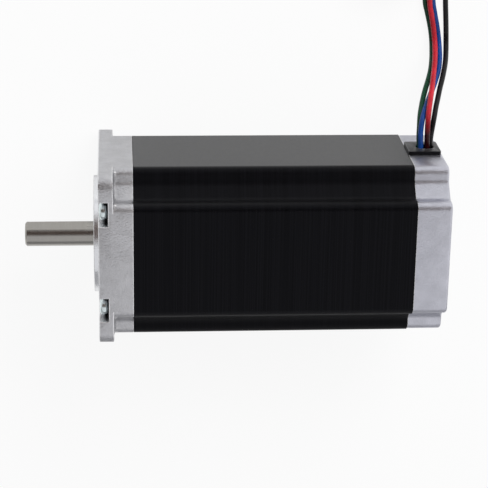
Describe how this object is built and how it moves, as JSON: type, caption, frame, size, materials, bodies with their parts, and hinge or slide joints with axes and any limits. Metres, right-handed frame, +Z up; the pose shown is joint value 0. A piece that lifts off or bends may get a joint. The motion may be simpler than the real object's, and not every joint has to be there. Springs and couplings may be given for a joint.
{
  "type": "stepper motor",
  "caption": "Long square-flange hybrid stepper motor with a flatted output shaft, a raised round pilot, notched corners and four free leads.",
  "frame": {"origin": "centre of the pilot at the flange's mounting face, on the shaft's axis", "axes": "-X along the output shaft, +X towards the rear cap, +Y towards the side where the leads leave, +Z up, with the motor lying on its -Z flats"},
  "size_m": [0.1414, 0.1353, 0.0564],
  "materials": {
    "cast_aluminium": "fine cast grain, satin",
    "cap_aluminium": "fine cast grain, satin",
    "lamination": "black-finished laminations, satin",
    "insulator_plastic": "moulded",
    "copper": "enamelled copper wire",
    "copper_dark": "enamelled copper wire",
    "board": "circuit board",
    "screw_zinc": "zinc-plated steel",
    "spring_steel": "rolled sheet",
    "bearing_steel": "ground and polished",
    "cage_brass": "turned",
    "shaft_steel": "ground steel",
    "rotor_steel": "ground laminations",
    "magnet": "sintered",
    "grommet_rubber": "moulded rubber",
    "tie_plastic": "moulded",
    "tinned_copper": "tinned strands",
    "lead_inside": "lead insulation inside the cap",
    "lead_green": "extruded insulation",
    "lead_blue": "extruded insulation",
    "lead_red": "extruded insulation",
    "lead_black": "extruded insulation"
  },
  "bodies": {
    "housing": {"front_bell": "cast_aluminium", "rear_cap": "cap_aluminium", "stator_core": "lamination", "front_insulator": "insulator_plastic", "rear_insulator": "insulator_plastic", "winding_1": "copper", "winding_2": "copper_dark", "winding_3": "copper", "winding_4": "copper_dark", "winding_5": "copper", "winding_6": "copper_dark", "winding_7": "copper", "winding_8": "copper_dark", "terminal_board": "board", "tie_screws": "screw_zinc", "preload_washer": "spring_steel", "front_outer_race": "bearing_steel", "front_shields": "spring_steel", "rear_outer_race": "bearing_steel", "rear_shields": "spring_steel", "grommet": "grommet_rubber", "inner_leads": "lead_inside", "green_lead": "lead_green", "blue_lead": "lead_blue", "red_lead": "lead_red", "black_lead": "lead_black", "green_coil": "lead_green", "blue_coil": "lead_blue", "red_coil": "lead_red", "black_coil": "lead_black", "lead_tie": "tie_plastic", "lead_tips": "tinned_copper"},
    "rotor": {"shaft": "shaft_steel", "rotor_cup_1": "rotor_steel", "rotor_cup_2": "rotor_steel", "rotor_cup_3": "rotor_steel", "rotor_cup_4": "rotor_steel", "rotor_cup_5": "rotor_steel", "rotor_cup_6": "rotor_steel", "rotor_magnet_1": "magnet", "rotor_magnet_2": "magnet", "rotor_magnet_3": "magnet", "rotor_spacers": "cage_brass", "front_inner_race": "bearing_steel", "rear_inner_race": "bearing_steel"},
    "front_ball_cage": {"front_cage": "cage_brass", "front_balls": "bearing_steel"},
    "rear_ball_cage": {"rear_cage": "cage_brass", "rear_balls": "bearing_steel"}
  },
  "joints": [
    {"name": "rotor_spin", "type": "hinge", "parent": "housing", "child": "rotor", "pos_m": [0, 0, 0], "axis": [-1, 0, 0], "continuous": true},
    {"name": "front_cage_roll", "type": "hinge", "parent": "housing", "child": "front_ball_cage", "pos_m": [0.0069, 0, 0], "axis": [-1, 0, 0], "continuous": true},
    {"name": "rear_cage_roll", "type": "hinge", "parent": "housing", "child": "rear_ball_cage", "pos_m": [0.1048, 0, 0], "axis": [-1, 0, 0], "continuous": true}
  ],
  "couplings": [
    {"joint": "front_cage_roll", "follows": "rotor_spin", "ratio": 0.3677},
    {"joint": "rear_cage_roll", "follows": "rotor_spin", "ratio": 0.3677}
  ]
}
